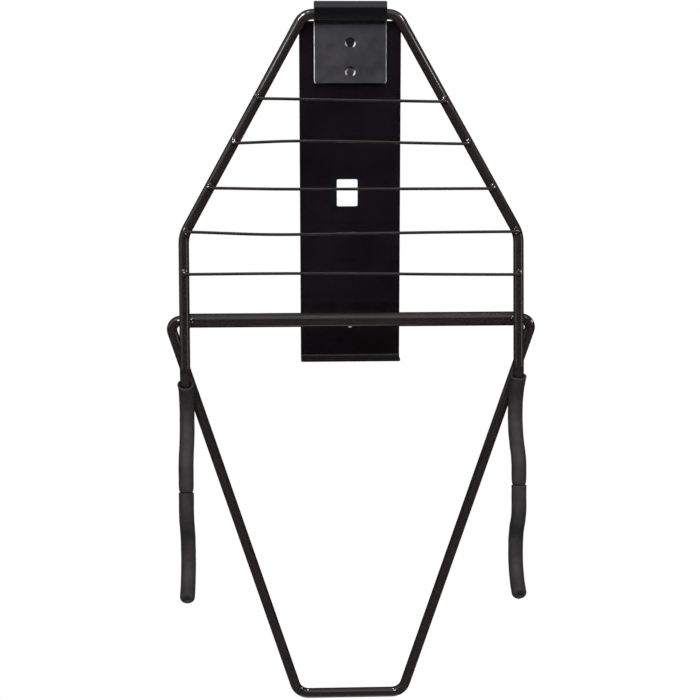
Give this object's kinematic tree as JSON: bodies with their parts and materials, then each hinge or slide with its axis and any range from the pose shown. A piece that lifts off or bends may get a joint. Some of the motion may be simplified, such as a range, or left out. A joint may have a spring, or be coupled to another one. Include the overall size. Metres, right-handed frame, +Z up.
{
  "type": "bicycle wall rack",
  "caption": "Folding wall rack: a bent-rod carrier with foam-sleeved hooks and a wire shelf swings on a wall plate, and a brace drops into the plate's lip.",
  "frame": {"origin": "on the wall, half way between the two wall screws", "axes": "+Y into the wall, +Z up, the rack stands out towards -Y"},
  "size_m": [0.364, 0.1015, 0.7199],
  "materials": {
    "plate_paint": "gloss black powder coat",
    "strap_paint": "satin black powder coat",
    "rod_paint": "gloss black powder coat",
    "weld_paint": "gloss black powder coat over weld beads",
    "foam": "matte closed-cell foam",
    "label_film": "gloss film"
  },
  "bodies": {
    "wall_unit": {"wall_plate": "plate_paint", "plate_label": "label_film", "hinge_strap": "strap_paint", "strap_rivet": "strap_paint"},
    "carrier": {"carrier_rod": "rod_paint", "pivot_tube": "rod_paint", "shelf_wire_1": "rod_paint", "shelf_wire_2": "rod_paint", "shelf_wire_3": "rod_paint", "shelf_wire_4": "rod_paint", "shelf_wire_5": "rod_paint", "left_inner_sleeve": "foam", "left_outer_sleeve": "foam", "right_inner_sleeve": "foam", "right_outer_sleeve": "foam", "left_shelf_welds": "weld_paint", "left_tube_welds": "weld_paint", "right_shelf_welds": "weld_paint", "right_tube_welds": "weld_paint"},
    "brace": {"support_brace": "rod_paint"}
  },
  "joints": [
    {"name": "carrier_hinge", "type": "hinge", "parent": "wall_unit", "child": "carrier", "pos_m": [0, -0.01, 0.1672], "axis": [-1, 0, 0], "range_deg": [0, 73.67]},
    {"name": "brace_hinge", "type": "hinge", "parent": "carrier", "child": "brace", "pos_m": [0, -0.0433, -0.12808], "axis": [1, 0, 0], "range_deg": [0, 114.51]}
  ]
}
